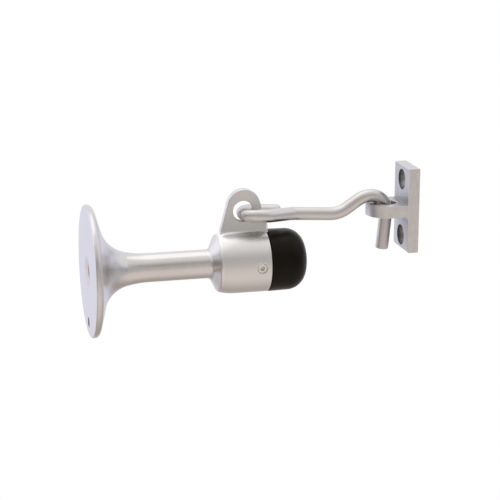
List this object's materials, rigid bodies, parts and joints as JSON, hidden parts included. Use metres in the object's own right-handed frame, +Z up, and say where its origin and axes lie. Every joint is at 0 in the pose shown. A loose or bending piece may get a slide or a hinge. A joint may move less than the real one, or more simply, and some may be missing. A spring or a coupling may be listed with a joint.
{
  "type": "wall door stop with hook",
  "caption": "Wall door stop with a round base, trumpet stem, cup head and domed rubber bumper; a bent rod hook hinged on a lug drops into a T-shaped door strike.",
  "frame": {"origin": "centre of the base's back face, where the stop meets the wall", "axes": "+X along the stop's axis, from the wall to the door; +Z up, towards the lug and the hook; the hook lies in the plane y = 0"},
  "size_m": [0.1616, 0.0634, 0.0753],
  "materials": {
    "cast_metal": "satin",
    "bumper_rubber": "satin",
    "screw_steel": "bright",
    "hook_rod": "satin",
    "strike_metal": "brushed"
  },
  "bodies": {
    "stop": {"stop_body": "cast_metal", "bumper": "bumper_rubber", "bumper_screw": "screw_steel", "strike": "strike_metal"},
    "hook": {"hook": "hook_rod"}
  },
  "joints": [
    {"name": "hook_swing", "type": "hinge", "parent": "stop", "child": "hook", "pos_m": [0.0759, 0, 0.02407], "axis": [0, -1, 0], "range_deg": [0, 171]}
  ]
}
